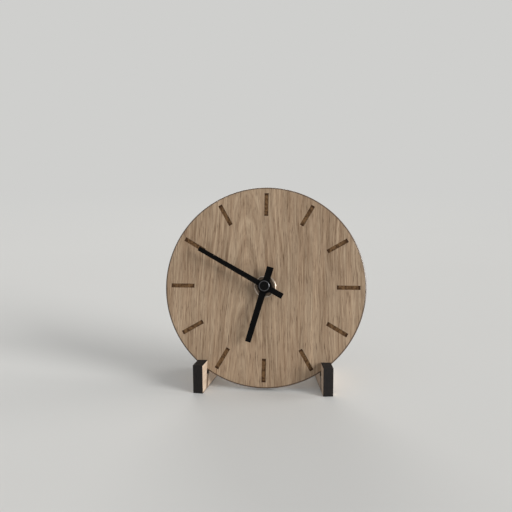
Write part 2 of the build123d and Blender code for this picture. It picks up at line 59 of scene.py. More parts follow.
MM = 0.001
TURNS = {joint["name"]: joint for joint in frame["joints"]}
DIAL_CENTRE = Vector(TURNS["minute_hand_turn"]["pos_m"])
BACKWARD = Vector(TURNS["minute_hand_turn"]["axis"]).normalized()
RIGHTWARD = Vector((1.0, 0.0, 0.0))
UPWARD = RIGHTWARD.cross(BACKWARD)
# The board's own frame: x to the right, y into the board and z up its face, from the middle of the face
BOARD = Matrix.Translation(DIAL_CENTRE) @ Matrix((RIGHTWARD, BACKWARD, UPWARD)).transposed().to_4x4()
TO_BOARD = BOARD.inverted()
# Stands a flat outline up, so that it faces -y
STAND_UP = Matrix.Rotation(math.pi / 2, 4, "X")
# Lays a body that was turned about y along x
LAY_DOWN = Matrix.Rotation(-math.pi / 2, 4, "Z")
# The side that a flat outline shows, and the side behind it
FACING, BEHIND = Vector((0.0, 0.0, 1.0)), Vector((0.0, 0.0, -1.0))

# Keeps the finely turned rim inside the CAD box
RIM_CLEARANCE = 0.00002
# Order of the board's materials
VENEER, CHARRED, BURNT, ARRIS = range(4)
# Sides of the round outlines and turned bodies
RIM_SIDES = 240
WASHER_SIDES = 96
ROUND_SIDES = 72
HOLE_SIDES = 64
NUB_SIDES = 48
COIL_SIDES = 40
ARBOR_SIDES = 32
ARROW_SIDES = 3
# Edges sharper than these stay sharp in the shading; moulded pieces are flat across their eased edges
PLAIN, MOULDED, RIMMED, RIDGED = (math.radians(angle) for angle in (32.0, 20.0, 28.0, 60.0))
# Edges sharper than this are eased, and faces that turn less than this are joined first
EASED_OVER, JOINED_UNDER = math.radians(35.0), math.radians(0.5)
# Points this near are one: in a copied node, in a turned body, and at the ends of a vanished edge
COPY_MERGE, TURNED_MERGE, VANISHED = 1e-6, 1e-7, 1e-8
# A wall is upright if its normal rises less than this, and square to a direction if the cosine is over this
UPRIGHT, SQUARE = 0.01, 0.999

# Each light, and how far round it stands from the right towards the front; all rise alike, in degrees
LIGHTS = (("front", 27.0), ("rear", -15.0), ("back", -100.0))
LIGHT_RISE = 18.0
LIGHT_COLOUR = (1.0, 0.99, 0.97)
WHITE = (1.0, 1.0, 1.0)
NEAREST_SEEN = 0.01
FLOOR_CELLS = 8


def tone(red, green, blue):
    """Linear colour of a display colour given from 0 to 255, by the sRGB curve."""
    shares = [value / 255.0 for value in (red, green, blue)]
    return tuple(v / 12.92 if v <= 0.04045 else ((v + 0.055) / 1.055) ** 2.4 for v in shares)


def shaded(colour, share):
    return tuple(channel * share for channel in colour)


def board_box(node):
    """Lowest and highest corner of a node in the board's own frame."""
    points = [TO_BOARD @ v.co for v in frame["nodes"][node].data.vertices]
    low = Vector(min(p[i] for p in points) for i in range(3))
    high = Vector(max(p[i] for p in points) for i in range(3))
    return low, high


DIAL_LOW, DIAL_HIGH = board_box("dial_board")
DIAL_THICK = DIAL_HIGH.y - DIAL_LOW.y


def tint(name, description, red, green, blue):
    """Setting of a colour."""
    return FloatVectorProperty(
        name=name, description=description, subtype="COLOR", size=3, min=0.0, max=1.0,
        default=tone(red, green, blue),
    )


def size(name, description, default, low, high):
    """Setting of a length, given here in millimetres."""
    return FloatProperty(
        name=name, description=description, subtype="DISTANCE", unit="LENGTH", precision=5,
        default=default * MM, min=low * MM, max=high * MM,
    )


def power(name, description, default, high):
    """Setting of a light's strength."""
    return FloatProperty(name=name, description=description, default=default, min=0.0, max=high)


class DialSettings(bpy.types.PropertyGroup):
    """Oak board with burnt hour bars."""

    face_light: tint("Face light", "Light tone of the oak face", 186, 163, 137)
    face_dark: tint("Face dark", "Dark tone of the grain", 117, 92, 68)
    pore: tint("Pore", "Tone of the open pores", 82, 58, 37)
    bar: tint("Hour bar", "Tone of the burnt bars", 116, 88, 60)
    bar_end: tint("Bar end", "Tone of the darker ends of the bars", 58, 37, 21)
    rim: tint("Rim", "Tone of the charred rim", 44, 30, 20)
    arris: tint("Arris", "Tone of the eased front edge", 88, 65, 45)
    grain: size("Grain", "Width of one streak of the grain", 1.5, 0.2, 20.0)
    sway: size("Sway", "How far the grain wanders sideways", 6.0, 0.0, 50.0)
    ease: size("Ease", "Width of the eased front edge", 0.7, 0.05, 2.0)
    back_ease: size("Back ease", "Width of the eased back edge", 0.15, 0.02, 1.0)
    hole_radius: size("Hole radius", "Radius of the hole for the bushing", 4.2, 1.0, 20.0)
    bar_length: size("Bar length", "Length of an hour bar", 13.8, 1.0, 50.0)
    bar_width: size("Bar width", "Width of an hour bar", 2.45, 0.5, 10.0)
    bar_depth: size("Bar depth", "How deep a bar is burnt in", 0.25, 0.05, 2.0)
    bar_rim_gap: size("Bar gap", "Gap between a bar and the rim", 3.6, 0.5, 20.0)
    hours: IntProperty(name="Hours", description="How many hour bars there are", default=12, min=1, max=60)


class FootSettings(bpy.types.PropertyGroup):
    """Pale boards with charred cut edges."""

    side_light: tint("Side light", "Light tone of the pale sides", 212, 192, 172)
    side_dark: tint("Side dark", "Dark tone of the pale sides", 184, 162, 140)
    # Tone of the smoke stain, which also paints the dial's shadow down the feet below the slot
    stain_and_shade: tint("Stain", "Smoke stain beside the cut edges", 84, 60, 38)
    char: tint("Char", "Charred cut edges", 20, 18, 18)
    char_light: tint("Char light", "Paler fibres in the char", 46, 39, 35)
    ease: size("Ease", "Width of the eased edges", 0.16, 0.02, 2.0)
    # This reach also sets the width of the painted shadow of the dial below the slot
    stain_and_shade_width: size("Stain width", "Reach of the smoke stain", 0.7, 0.1, 5.0)


class HandSettings(bpy.types.PropertyGroup):
    """Black hands and their cap nut."""

    paint: tint("Paint", "Matt black paint", 4, 4, 4)
    worn: tint("Worn", "Paint where it is thinnest", 9, 9, 9)
    ease: size("Ease", "Width of the eased edges of the hands", 0.08, 0.01, 1.0)
    # Paler tone of the cap's rubbed edge, which also paints the rounded edge's highlight
    edge: tint("Cap edge", "Rubbed edge of the cap nut", 98, 98, 101)
    cap_ease: size("Cap ease", "Width of the cap nut's rounded edge", 0.6, 0.05, 2.0)


class FixingSettings(bpy.types.PropertyGroup):
    """Nickel washer, nut and bushing, with the gasket behind the board."""

    nickel: tint("Nickel", "Nickel plating", 186, 174, 162)
    # The dull tone is dull plating, with its warm tan a painted reflection of the oak face
    dull_and_reflected_nickel: tint("Nickel dull", "Plating where it is dull", 158, 141, 122)
    # Dark tone of the nut, painting the shade and dark reflections round the hub
    nut: tint("Nut", "Burnished nut", 102, 89, 77)
    rubber: tint("Rubber", "Gasket rubber", 38, 37, 36)
    ease: size("Ease", "Width of the eased edges", 0.12, 0.01, 1.0)
    washer_bore: size("Washer bore", "Radius of the washer's bore", 4.02, 1.0, 6.0)
    washer_bevel: size("Washer bevel", "Radius of the washer's crowned edge", 0.7, 0.3, 3.0)
    bushing_radius: size("Bushing radius", "Radius over the bushing's thread", 4.0, 1.0, 10.0)
    bushing_bore: size("Bushing bore", "Radius of the bushing's bore", 2.55, 0.5, 9.0)
    flange: size("Flange", "Thickness of the bushing's flange", 1.0, 0.3, 3.0)
    thread_pitch: size("Thread pitch", "Pitch of the bushing's thread", 0.75, 0.2, 3.0)
    thread_depth: size("Thread depth", "Depth of the bushing's thread", 0.4, 0.05, 2.0)


class MovementSettings(bpy.types.PropertyGroup):
    """Black movement with its wheels, motor, circuit and battery."""

    case: tint("Case", "Black moulded plastic", 36, 36, 38)
    case_worn: tint("Case worn", "Plastic where it is rubbed", 52, 52, 54)
    wheel: tint("Wheel", "White moulded wheels", 226, 223, 212)
    plate: tint("Plate", "Grey moulded plates", 146, 149, 151)
    brass: tint("Brass", "Turned brass", 214, 178, 104)
    iron: tint("Iron", "Stamped soft iron", 158, 156, 152)
    magnet: tint("Magnet", "Ground magnet", 92, 92, 95)
    copper: tint("Copper", "Enamelled copper wire", 190, 104, 58)
    laminate: tint("Laminate", "Lacquered circuit board", 46, 104, 66)
    resin: tint("Resin", "Resin drop over the chip", 24, 24, 25)
    steel: tint("Steel", "Plated steel", 206, 204, 199)
    sleeve: tint("Sleeve", "Battery sleeve", 128, 134, 142)
    sleeve_band: tint("Sleeve band", "Band round the battery", 222, 222, 218)
    band_width: size("Band width", "Width of the band round the battery", 6.0, 0.5, 20.0)
    ease: size("Ease", "Width of the eased moulded edges", 0.3, 0.02, 2.0)
    wire: size("Wire", "Width of one ridge of the winding", 0.3, 0.1, 2.0)
    winding: size("Winding", "Depth of the winding on its bobbin", 0.88, 0.2, 2.0)
    panel_margin: size("Panel margin", "Plain border of the cover", 1.6, 0.5, 10.0)
    panel_depth: size("Panel depth", "Depth of the cover's panel and marks", 0.3, 0.05, 0.4)
    dish_radius: size("Dish radius", "Radius of the dish round the knob", 6.4, 2.0, 12.0)
    arbor_hole: size("Arbor hole", "Radius of the setting arbor's hole", 0.85, 0.3, 2.0)
    mark: size("Mark", "Size of the moulded marks", 2.2, 0.5, 4.0)
    clip_width: size("Clip width", "Width of a clip window in the case", 7.0, 1.0, 20.0)
    clip_height: size("Clip height", "Height of a clip window in the case", 2.2, 0.5, 6.0)
    clip_depth: size("Clip depth", "Depth of a clip window in the case", 0.6, 0.1, 1.0)


class StageSettings(bpy.types.PropertyGroup):
    """Floor, light and camera."""

    floor: tint("Floor", "Plain pale floor", 220, 220, 218)
    backdrop: tint("Backdrop", "Plain pale background", 207, 207, 205)
    floor_size: size("Floor size", "Width of the floor", 40000.0, 500.0, 100000.0)
    sweep_start: size("Sweep start", "Where the floor starts to become background", 250.0, 100.0, 100000.0)
    sweep_end: size("Sweep end", "Where the floor has become background", 1600.0, 200.0, 100000.0)
    front: power("Front light", "Strength of the soft light from the right front", 0.82, 10.0)
    rear: power("Rear light", "Strength of the soft light from the right rear", 0.34, 10.0)
    back: power("Back light", "Strength of the soft light from behind", 0.3, 10.0)
    fill: power("Fill", "Strength of the even light all round", 0.4, 4.0)
    light_width: FloatProperty(
        name="Light width", description="How wide each soft light looks from the clock", subtype="ANGLE",
        unit="ROTATION", default=math.radians(30.0), min=0.0, max=math.pi,
    )
    lens: FloatProperty(
        name="Lens", description="Focal length of the camera",
        subtype="DISTANCE_CAMERA", unit="CAMERA", default=50.0, min=10.0, max=300.0,
    )
    camera_place: FloatVectorProperty(
        name="Camera place", description="Where the camera stands, from the middle of the dial",
        subtype="TRANSLATION", unit="LENGTH", size=3, default=(0.0291, -0.41382, 0.08921),
    )
    camera_turn: FloatVectorProperty(
        name="Camera turn", description="Pitch, roll and yaw of the camera",
        subtype="EULER", unit="ROTATION", size=3,
        default=(math.radians(-9.67), math.radians(0.24), math.radians(4.76)),
    )


class ClockSettings(bpy.types.PropertyGroup):
    """All settings of the clock."""

    dial: PointerProperty(type=DialSettings)
    feet: PointerProperty(type=FootSettings)
    hands: PointerProperty(type=HandSettings)
    fixing: PointerProperty(type=FixingSettings)
    movement: PointerProperty(type=MovementSettings)
    stage: PointerProperty(type=StageSettings)


class Nodes:
    """One node tree under construction."""

    def __init__(self, tree):
        self.tree = tree

    def add(self, kind, sockets=None, **options):
        """New node with its options, and with its inputs linked or set."""
        node = self.tree.nodes.new(kind)
        for key, value in options.items():
            setattr(node, key, value)
        for socket, value in (sockets or {}).items():
            self.put(value, node.inputs[socket])
        return node

    def put(self, value, socket):
        """Links an input to an output, or sets it."""
        if isinstance(value, bpy.types.NodeSocket):
            self.tree.links.new(value, socket)
        else:
            socket.default_value = (*value, 1.0) if socket.type == "RGBA" else value

    def maths(self, operation, first, second=0.0, third=0.0):
        return self.add("ShaderNodeMath", {0: first, 1: second, 2: third}, operation=operation).outputs[0]

    def seen(self):
        """One for a ray that is seen, straight or in a mirror or glass, and zero for the light itself."""
        path = self.add("ShaderNodeLightPath").outputs
        mirrored = self.maths("MAXIMUM", path["Is Glossy Ray"], path["Is Transmission Ray"])
        return self.maths("MAXIMUM", path["Is Camera Ray"], mirrored)

    def show(self, share, first, second, output):
        """Shows two shaders mixed by a share."""
        mixed = self.add("ShaderNodeMixShader", {"Fac": share, 1: first, 2: second}).outputs["Shader"]
        self.put(mixed, self.tree.nodes[output].inputs["Surface"])


class Finish(Nodes):
    """One procedural material under construction."""

    def __init__(self, name, roughness=0.5, metallic=0.0, specular=0.5):
        self.material = bpy.data.materials.new(name)
        self.material.use_nodes = True
        super().__init__(self.material.node_tree)
        self.shader = self.tree.nodes["Principled BSDF"]
        self.give("Roughness", roughness)
        self.give("Metallic", metallic)
        self.give("Specular IOR Level", specular)
        self.place = self.add("ShaderNodeTexCoord").outputs["Object"]

    def give(self, name, value):
        """Sets or links an input of the shader."""
        self.put(value, self.shader.inputs[name])

    def within(self, matrix):
        """Object coordinates seen from a frame of the piece's own."""
        sockets = {"Vector": self.place, "Location": matrix.to_translation(), "Rotation": matrix.to_euler()}
        return self.add("ShaderNodeMapping", sockets, vector_type="TEXTURE").outputs["Vector"]

    def scaled(self, vector, scale, shift=(0.0, 0.0, 0.0)):
        sockets = {"Vector": vector, "Scale": scale, "Location": shift}
        return self.add("ShaderNodeMapping", sockets, vector_type="POINT").outputs["Vector"]

    def parts(self, vector):
        node = self.add("ShaderNodeSeparateXYZ", {"Vector": vector})
        return node.outputs["X"], node.outputs["Y"], node.outputs["Z"]

    def joined(self, x, y, z):
        return self.add("ShaderNodeCombineXYZ", {"X": x, "Y": y, "Z": z}).outputs["Vector"]

    def length(self, vector):
        return self.add("ShaderNodeVectorMath", {0: vector}, operation="LENGTH").outputs["Value"]

    def off_axis(self, place):
        """How far a place in the board's frame is from the hands' axis."""
        return self.length(self.scaled(place, (1.0, 0.0, 1.0)))

    def noise(self, vector, cells, detail=2.0, roughness=0.5, shift=(0.0, 0.0, 0.0)):
        """Noise of so many cells to the metre, the same every way or along each axis."""
        scale = (cells, cells, cells) if isinstance(cells, float) else cells
        place = self.scaled(vector, scale, shift)
        sockets = {"Vector": place, "Scale": 1.0, "Detail": detail, "Roughness": roughness}
        return self.add("ShaderNodeTexNoise", sockets).outputs["Fac"]

    def level(self, value, over, to=(0.0, 1.0)):
        """Value stretched from one range to another, and held there."""
        (low, high), (start, end) = over, to
        sockets = {"Value": value, "From Min": low, "From Max": high, "To Min": start, "To Max": end}
        return self.add("ShaderNodeMapRange", sockets, clamp=True).outputs["Result"]

    def plus(self, first, second):
        return self.maths("ADD", first, second)

    def minus(self, first, second):
        return self.maths("SUBTRACT", first, second)

    def times(self, first, second):
        return self.maths("MULTIPLY", first, second)

    def off(self, value, middle=0.0):
        """How far a value is from a middle, either way."""
        return self.maths("ABSOLUTE", self.minus(value, middle))

    def waves(self, value, phase):
        """Sine of a length, with so much phase to the metre."""
        return self.maths("SINE", self.times(value, phase))

    def mix(self, share, first, second, blend="MIX"):
        """Two colours mixed by a share."""
        node = self.add("ShaderNodeMix", data_type="RGBA", blend_type=blend)
        for name, value in (("Factor_Float", share), ("A_Color", first), ("B_Color", second)):
            self.put(value, next(s for s in node.inputs if s.identifier == name))
        return next(s for s in node.outputs if s.identifier == "Result_Color")

    def cloudy(self, cells, over, first, second, detail=3.0, roughness=0.6):
        """Cloud of noise, and two colours mixed by it."""
        cloud = self.noise(self.place, cells, detail, roughness)
        return cloud, self.mix(self.level(cloud, over), first, second)

    def bump(self, height, depth, strength):
        node = self.add("ShaderNodeBump", {"Height": height, "Distance": depth, "Strength": strength})
        self.give("Normal", node.outputs["Normal"])

    def done(self, colour, roughness=None):
        self.give("Base Color", colour)
        if roughness is not None:
            self.give("Roughness", roughness)
        return self.material


def oak_finish(at):
    """Oak veneer with upright grain: broad bands, streaks, arches and open pores."""
    oak = Finish("oak_veneer", roughness=0.6, specular=0.35)
    place = oak.within(BOARD)
    x, y, z = oak.parts(place)
    sway = oak.noise(place, (30.0, 30.0, 14.0))
    grained = oak.joined(oak.maths("MULTIPLY_ADD", sway, at.sway, x), y, z)
    arches = oak.length(oak.scaled(grained, (1.0, 0.0, 0.09), shift=(0.009, 0.0, 0.011)))
    arched = oak.joined(arches, y, z)

    def grain(vector, across, along, **form):
        """Noise of so many cells to a streak, across the grain and along it."""
        return oak.noise(vector, tuple(cells / at.grain for cells in (across, across, along)), **form)

    streaks = grain(arched, across=1.2, along=0.035, detail=4.0, roughness=0.66)
    fine = grain(grained, across=2.7, along=0.11, detail=3.0, roughness=0.68)
    bands = grain(arched, across=0.2, along=0.012)
    pores = grain(grained, across=3.0, along=0.2, roughness=0.6, shift=(0.4, 0.2, 0.1))
    blush = grain(grained, across=0.5, along=0.03, shift=(0.7, 0.1, 0.3))
    streak_share, fine_share, band_share = 0.5, 0.36, 0.2
    blend = oak.plus(oak.times(streaks, streak_share), oak.times(fine, fine_share))
    blend = oak.plus(blend, oak.times(bands, band_share))
    face = oak.mix(oak.level(blend, (0.395, 0.645)), at.face_dark, at.face_light)
    open_pores = oak.level(pores, (0.57, 0.72), to=(0.0, 0.8))
    face = oak.mix(open_pores, face, at.pore)
    warmth = (1.025, 0.995, 0.975)
    face = oak.mix(oak.level(blush, (0.4, 0.65)), face, warmth, blend="MULTIPLY")
    rim = DIAL_HIGH.x - at.ease
    singed = oak.level(oak.off_axis(place), (rim - at.ease * 0.6, rim), to=(0.0, 0.5))
    face = oak.mix(singed, face, at.rim)
    oak.bump(oak.minus(fine, open_pores), depth=0.00006, strength=0.55)
    return oak.done(face, oak.level(fine, (0.3, 0.7), to=(0.52, 0.7)))


def bar_finish(at):
    """Burnt bar floor: brown and blotched, and darker at both ends."""
    burn = Finish("burnt_bar", roughness=0.8, specular=0.15)
    place = burn.within(BOARD)
    blotch = burn.noise(place, 560.0, roughness=0.55)
    fibre = burn.noise(place, (1100.0, 1100.0, 90.0), roughness=0.55)
    middle = DIAL_HIGH.x - at.bar_rim_gap - at.bar_length / 2
    reach = burn.off(burn.off_axis(place), middle)
    waver = burn.maths("MULTIPLY_ADD", blotch, at.bar_length * 0.1, reach)
    ends = burn.level(waver, (at.bar_length * 0.43, at.bar_length * 0.5), to=(0.0, 0.85))
    body = burn.mix(burn.level(blotch, (0.44, 0.66), to=(0.05, 0.85)), at.bar, at.bar_end)
    body = burn.mix(burn.level(fibre, (0.46, 0.7), to=(0.0, 0.5)), body, at.bar_end)
    burn.bump(fibre, depth=0.00008, strength=0.5)
    return burn.done(burn.mix(ends, body, at.bar_end))


def char_finish(name, dark, light, roughness, specular):
    """Char left by the cut, with its fibres along the rim."""
    char = Finish(name, roughness=roughness, specular=specular)
    fibre = char.noise(char.within(BOARD), (260.0, 1900.0, 260.0), detail=3.0, roughness=0.6)
    char.bump(fibre, depth=0.00006, strength=0.3)
    colour = char.mix(char.level(fibre, (0.3, 0.75)), dark, light)
    return char.done(colour, char.level(fibre, (0.3, 0.7), to=(roughness * 0.9, roughness * 1.1)))


def foot_finish(name, at, node):
    """Pale board whose cut edges are charred, with a smoke stain beside them and a painted shadow of the
    dial below the slot.
    """
    foot = Finish(name, roughness=0.62, specular=0.3)
    local = foot_frame(node)
    corners = [local.inverted() @ v.co for v in frame["nodes"][node].data.vertices]
    half_width, half_length, height = (max(corner[i] for corner in corners) for i in range(3))
    place = foot.within(local)
    x, y, z = foot.parts(place)
    cut = foot.level(foot.minus(half_width, foot.off(x)), (at.ease * 0.05, at.ease * 0.25))
    # The stain is narrower at the ends and the top than at the ground; the painted shadow of the dial below
    # the slot is as wide as at the ground
    narrowing = 3.0
    to_end = foot.times(foot.minus(half_length, foot.off(y)), narrowing)
    to_top = foot.times(foot.minus(height, z), narrowing)
    edge = foot.maths("MINIMUM", foot.maths("MINIMUM", to_end, to_top), z)
    depth = foot.parts(foot.within(BOARD))[1]
    # Painted shadow of the dial: a band in the dial's plane down the foot, below the slot
    to_slot = foot.minus(foot.off(depth, DIAL_THICK / 2), DIAL_THICK / 2)
    waver = foot.times(foot.noise(place, 500.0), at.stain_and_shade_width)
    edge_start, shadow_start, stain_and_shade_share = -0.0002, -0.0016, 0.9
    stained, painted_dial_shadow = (
        foot.level(foot.minus(reach, waver), (start, at.stain_and_shade_width), to=(stain_and_shade_share, 0.0))
        for reach, start in ((edge, edge_start), (to_slot, shadow_start))
    )
    grain = foot.noise(place, (600.0, 45.0, 600.0), detail=4.0, roughness=0.6)
    fine = foot.noise(place, (2200.0, 120.0, 2200.0), roughness=0.6)
    plies = foot.noise(place, (1500.0, 240.0, 240.0), detail=3.0, roughness=0.65)
    grain_share, fine_share = 0.65, 0.35
    blend = foot.plus(foot.times(grain, grain_share), foot.times(fine, fine_share))
    pale = foot.mix(foot.level(blend, (0.35, 0.68)), at.side_dark, at.side_light)
    pale = foot.mix(foot.maths("MAXIMUM", stained, painted_dial_shadow), pale, at.stain_and_shade)
    charred = foot.mix(foot.level(plies, (0.42, 0.8), to=(0.0, 0.8)), at.char, at.char_light)
    foot.bump(foot.plus(fine, plies), depth=0.00008, strength=0.4)
    return foot.done(foot.mix(cut, pale, charred), foot.level(cut, (0.0, 1.0), to=(0.6, 0.78)))


def paint_finish(at):
    """Matt black paint with a faint spray texture."""
    paint = Finish("black_paint", roughness=0.5, specular=0.07)
    spray = paint.noise(paint.place, 5200.0)
    cloud, colour = paint.cloudy(160.0, (0.35, 0.75), at.paint, at.worn)
    paint.bump(spray, depth=0.00002, strength=0.35)
    return paint.done(colour, paint.level(cloud, (0.3, 0.7), to=(0.44, 0.58)))


def cap_finish(at, radius):
    """Black cap whose rounded edge is rubbed to bare metal, with its paler tone a painted highlight of that
    edge.
    """
    cap = Finish("black_cap", roughness=0.16, specular=0.1)
    reach = cap.off_axis(cap.within(BOARD))
    cloud, colour = cap.cloudy(700.0, (0.35, 0.75), at.paint, at.worn)
    inner, outer = radius - at.cap_ease * 1.05, radius - at.cap_ease * 0.1
    rise = cap.level(reach, (inner, inner + at.cap_ease * 0.25))
    fall = cap.level(reach, (outer - at.cap_ease * 0.3, outer), to=(1.0, 0.0))
    # The ring on the rounded edge is rubbed bare metal, and its paler colour is a painted highlight
    rubbed = cap.times(cap.times(rise, fall), cap.level(cloud, (0.25, 0.6), to=(0.5, 1.0)))
    cap.bump(cloud, depth=0.00001, strength=0.3)
    cap.give("Metallic", rubbed)
    return cap.done(cap.mix(rubbed, colour, at.edge), cap.level(cloud, (0.3, 0.7), to=(0.14, 0.2)))


def metal_finish(name, bright, dull, roughness, turned=0.0):
    """Plated or turned metal: cloudy polish, with fine rings of some pitch where it was turned."""
    metal = Finish(name, roughness=roughness, metallic=1.0)
    cloud, colour = metal.cloudy(420.0, (0.3, 0.75), bright, dull)
    if turned:
        rings = metal.waves(metal.off_axis(metal.within(BOARD)), math.tau / turned)
        metal.bump(metal.plus(rings, cloud), depth=0.000006, strength=0.35)
    else:
        scratch = metal.noise(metal.place, (240.0, 3200.0, 3200.0), roughness=0.6)
        metal.bump(scratch, depth=0.00001, strength=0.3)
    return metal.done(colour, metal.level(cloud, (0.25, 0.75), to=(roughness * 0.75, roughness * 1.35)))


def plastic_finish(name, colour, second, roughness, grain=2600.0, depth=0.00003):
    """Moulded plastic with a fine spark-eroded grain and rubbed places."""
    mould = Finish(name, roughness=roughness, specular=0.45)
    spark = mould.noise(mould.place, grain, roughness=0.6)
    rub, rubbed = mould.cloudy(70.0, (0.4, 0.8), colour, second, detail=4.0)
    mould.bump(spark, depth=depth, strength=0.5)
    return mould.done(rubbed, mould.level(rub, (0.3, 0.7), to=(roughness * 0.88, roughness * 1.15)))


def copper_finish(at):
    """Enamelled wire, with its turns as fine ridges across the coil."""
    wire = Finish("copper_wire", roughness=0.3, metallic=1.0)
    turns = wire.waves(wire.parts(wire.place)[0], math.tau / at.wire)
    wire.bump(turns, depth=0.00002, strength=0.4)
    return wire.done(wire.cloudy(300.0, (0.3, 0.75), at.copper, shaded(at.copper, 0.6))[1])


def laminate_finish(at):
    """Lacquered circuit board with the weave showing through and darker tracks."""
    card = Finish("board_laminate", roughness=0.34, specular=0.5)
    place = card.within(BOARD)
    x, _, z = card.parts(place)
    weave = card.times(card.waves(x, 9000.0), card.waves(z, 9000.0))
    tracks = card.noise(place, (260.0, 260.0, 34.0), detail=0.0)
    colour = card.mix(card.level(tracks, (0.52, 0.54)), at.laminate, shaded(at.laminate, 0.62))
    card.bump(card.plus(weave, tracks), depth=0.00001, strength=0.3)
    return card.done(colour)


def sleeve_finish(at, middle, half_length):
    """Satin battery sleeve with one plain pale band and fine wrinkles."""
    foil = Finish("battery_sleeve", roughness=0.32, metallic=0.55)
    band_share, band_blur = 0.62, 0.0001
    band = foil.off(foil.parts(foil.place)[0], middle.x + half_length * band_share)
    pale = foil.level(band, (at.band_width / 2 + band_blur, at.band_width / 2))
    cloud, colour = foil.cloudy(220.0, (0.3, 0.8), at.sleeve, shaded(at.sleeve, 0.75), roughness=0.55)
    wrinkle = foil.noise(foil.place, (120.0, 900.0, 900.0))
    foil.bump(wrinkle, depth=0.00002, strength=0.25)
    colour = foil.mix(pale, colour, at.sleeve_band)
    return foil.done(colour, foil.level(cloud, (0.3, 0.7), to=(0.26, 0.4)))


def foot_frame(node):
    """Frame of a foot: x across it, y along it to the back and z up, from under its middle."""
    low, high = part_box(node)
    upright = [face for face in frame["nodes"][node].data.polygons if abs(face.normal.z) < UPRIGHT]
    across = max(upright, key=lambda face: face.area).normal
    turn = math.atan2(across.y, across.x) if across.x > 0.0 else math.atan2(-across.y, -across.x)
    middle = Vector(((low.x + high.x) / 2, (low.y + high.y) / 2, low.z))
    return Matrix.Translation(middle) @ Matrix.Rotation(turn, 4, "Z")


def lying(node):
    """Middle, half length and radius of a round node that lies along x."""
    low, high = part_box(node)
    board_low, board_high = board_box(node)
    return (low + high) / 2, (high.x - low.x) / 2, (board_high.z - board_low.z) / 2


def new_object(name, data):
    """Object at the origin, linked to the scene."""
    made = bpy.data.objects.new(name, data)
    bpy.context.scene.collection.objects.link(made)
    return made


def in_order(elements, place):
    """Sorts points or faces by their places, because the operators' own order varies from run to run."""
    for index, element in enumerate(sorted(elements, key=lambda element: place(element).to_tuple())):
        element.index = index
    elements.sort()


def new_mesh(name, bm, materials):
    """Mesh made from a finished bmesh."""
    data = bpy.data.meshes.new(name)
    in_order(bm.verts, lambda vert: vert.co)
    in_order(bm.faces, lambda face: face.calc_center_median())
    bm.normal_update()
    bm.to_mesh(data)
    bm.free()
    for material in materials:
        data.materials.append(material)
    return data


def new_piece(name, bm, materials, node, body="clock_body", angle=PLAIN):
    """Piece made from a finished bmesh, which rides on a body in place of a node."""
    data = new_mesh(name, bm, materials)
    data.polygons.foreach_set("use_smooth", [True] * len(data.polygons))
    data.set_sharp_from_angle(angle=angle)
    piece = new_object(name, data)
    flatten = piece.modifiers.new("flat_faces_stay_flat", "WEIGHTED_NORMAL")
    flatten.mode = "FACE_AREA"
    flatten.weight = 100
    flatten.keep_sharp = True
    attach(piece, body)
    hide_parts(node)


def dress(material, *nodes):
    """Gives a material to nodes that keep their shape."""
    for node in nodes:
        shown = frame["nodes"][node]
        if not shown.material_slots:
            shown.data.materials.append(material)
        for held in shown.material_slots:
            held.material = material


def eased_copy(node, width):
    """Copy of a node's shape with its sharp edges eased."""
    bm = bmesh.new()
    bm.from_mesh(frame["nodes"][node].data)
    bmesh.ops.remove_doubles(bm, verts=bm.verts, dist=COPY_MERGE)
    bmesh.ops.dissolve_limit(bm, angle_limit=JOINED_UNDER, verts=bm.verts, edges=bm.edges)
    sharp = [e for e in bm.edges if e.is_manifold and e.calc_face_angle(0.0) > EASED_OVER]
    bmesh.ops.bevel(
        bm, geom=sharp, offset=width, offset_type="OFFSET", affect="EDGES", segments=2, profile=0.5,
        material=-1, clamp_overlap=True,
    )
    return bm


def placed(bm, matrix):
    """A shape with its faces turned outwards, moved to its place."""
    bmesh.ops.recalc_face_normals(bm, faces=bm.faces)
    bmesh.ops.transform(bm, matrix=matrix, verts=bm.verts)
    return bm


def turned(profile, sides, matrix, closed=False):
    """Body turned about the y axis from a profile of (radius, depth) pairs, and moved to its place."""
    bm = bmesh.new()
    points = [bm.verts.new((radius, depth, 0.0)) for radius, depth in profile]
    edges = [bm.edges.new(pair) for pair in zip(points, points[1:])]
    if closed:
        edges.append(bm.edges.new((points[-1], points[0])))
    bmesh.ops.spin(
        bm, geom=points + edges, cent=(0.0, 0.0, 0.0), axis=(0.0, 1.0, 0.0), angle=math.tau, steps=sides,
        use_merge=True, use_duplicate=False,
    )
    bmesh.ops.remove_doubles(bm, verts=bm.verts, dist=TURNED_MERGE)
    bmesh.ops.dissolve_degenerate(bm, dist=VANISHED, edges=bm.edges)
    return placed(bm, matrix)


def rounded(corner, ease, start, end, steps):
    """Profile points of a round of some ease about a point, between two angles in degrees."""
    points = []
    for step in range(steps + 1):
        angle = math.radians(start + (end - start) * step / steps)
        points.append((corner[0] + ease * math.cos(angle), corner[1] + ease * math.sin(angle)))
    return points


def edge_loop(points):
    """Edges that run between some points, each once."""
    held = set(points)
    return list(dict.fromkeys(e for v in points for e in v.link_edges if held.issuperset(e.verts)))


def opened(bm, face):
    """Edges left when a face is taken out."""
    edges = list(face.edges)
    bmesh.ops.delete(bm, geom=[face], context="FACES_ONLY")
    return edges


def ring_outline(bm, radius, sides, place=Matrix()):
    """Edges of a circle."""
    made = bmesh.ops.create_circle(bm, cap_ends=False, segments=sides, radius=radius, matrix=place)
    return edge_loop(made["verts"])


def bar_outline(bm, width, height, place=Matrix()):
    """Edges of a rectangle."""
    stretch = Matrix.Diagonal((width / 2, height / 2, 1.0, 1.0))
    made = bmesh.ops.create_grid(bm, x_segments=1, y_segments=1, size=1.0, matrix=place @ stretch)
    return opened(bm, made["verts"][0].link_faces[0])


